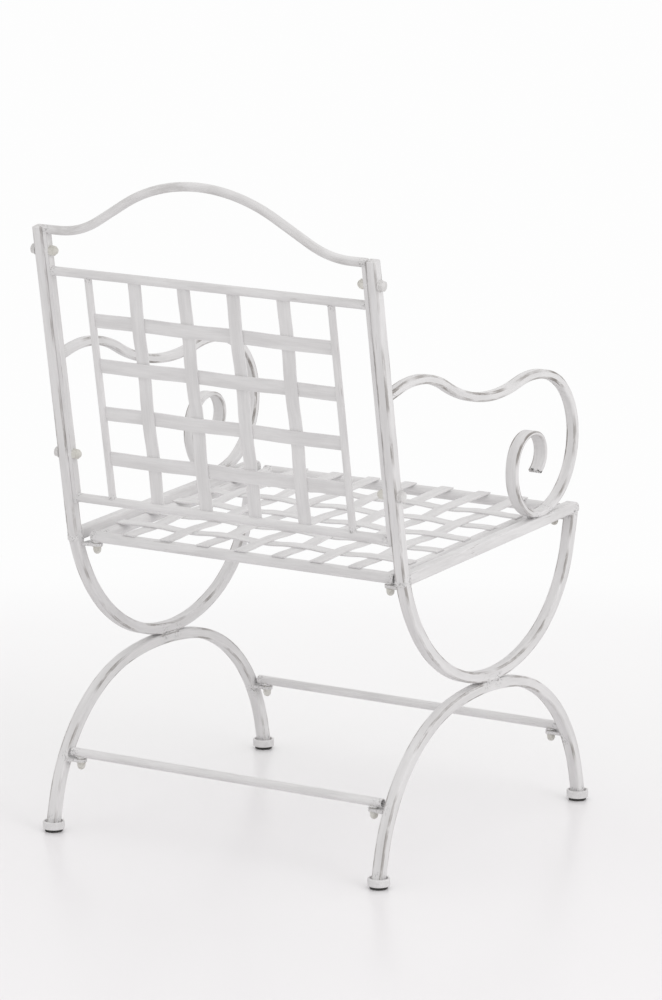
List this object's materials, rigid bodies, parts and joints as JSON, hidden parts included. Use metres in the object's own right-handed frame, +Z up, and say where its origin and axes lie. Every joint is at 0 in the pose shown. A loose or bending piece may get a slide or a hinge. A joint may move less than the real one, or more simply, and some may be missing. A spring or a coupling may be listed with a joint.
{
  "type": "metal garden armchair",
  "caption": "White distressed painted metal garden armchair with woven strap seat and back, camel-back crest rail, scrolled arms, belly bars and arched legs on round feet",
  "frame": {"origin": "on the floor, under the middle of the whole chair's width and depth", "axes": "+X to the sitter's left, -Y the way the chair faces, +Z up"},
  "size_m": [0.5684, 0.5927, 0.9456],
  "materials": {
    "painted_steel": "brushed antique white paint with grey and brown wear, satin",
    "painted_fastener": "same paint over bolts and nuts, greyer and more worn",
    "glide_plastic": "dark moulded glide, matt"
  },
  "bodies": {
    "root": {"back_bolts": "painted_fastener", "back_cap_nuts": "painted_fastener", "back_cross_strip_1": "painted_steel", "back_cross_strip_2": "painted_steel", "back_cross_strip_3": "painted_steel", "back_cross_strip_4": "painted_steel", "back_long_strip_1": "painted_steel", "back_long_strip_2": "painted_steel", "back_long_strip_3": "painted_steel", "back_long_strip_4": "painted_steel", "crest_rail": "painted_steel", "front_left_foot_cup": "painted_steel", "front_left_foot_glide": "glide_plastic", "front_right_foot_cup": "painted_steel", "front_right_foot_glide": "glide_plastic", "front_seat_tube": "painted_steel", "front_stretcher": "painted_steel", "left_arm_scroll": "painted_steel", "left_back_rod": "painted_steel", "left_back_stile": "painted_steel", "left_leg_arch": "painted_steel", "left_post_and_belly_bar": "painted_steel", "left_seat_bar": "painted_steel", "left_seat_tube": "painted_steel", "lower_back_rail": "painted_steel", "rear_left_foot_cup": "painted_steel", "rear_left_foot_glide": "glide_plastic", "rear_right_foot_cup": "painted_steel", "rear_right_foot_glide": "glide_plastic", "rear_seat_tube": "painted_steel", "rear_stretcher": "painted_steel", "right_arm_scroll": "painted_steel", "right_back_rod": "painted_steel", "right_back_stile": "painted_steel", "right_leg_arch": "painted_steel", "right_post_and_belly_bar": "painted_steel", "right_seat_bar": "painted_steel", "right_seat_tube": "painted_steel", "seat_cap_nuts": "painted_fastener", "seat_cross_strip_1": "painted_steel", "seat_cross_strip_2": "painted_steel", "seat_cross_strip_3": "painted_steel", "seat_cross_strip_4": "painted_steel", "seat_cross_strip_5": "painted_steel", "seat_long_strip_1": "painted_steel", "seat_long_strip_2": "painted_steel", "seat_long_strip_3": "painted_steel", "seat_long_strip_4": "painted_steel", "seat_long_strip_5": "painted_steel", "seat_long_strip_6": "painted_steel", "seat_long_strip_7": "painted_steel", "seat_lugs": "painted_steel", "seat_studs": "painted_fastener", "seat_washers": "painted_fastener", "stretcher_cap_nuts": "painted_fastener", "stretcher_lugs": "painted_steel", "stretcher_studs": "painted_fastener", "stretcher_washers": "painted_fastener", "upper_back_rail": "painted_steel"}
  },
  "joints": []
}
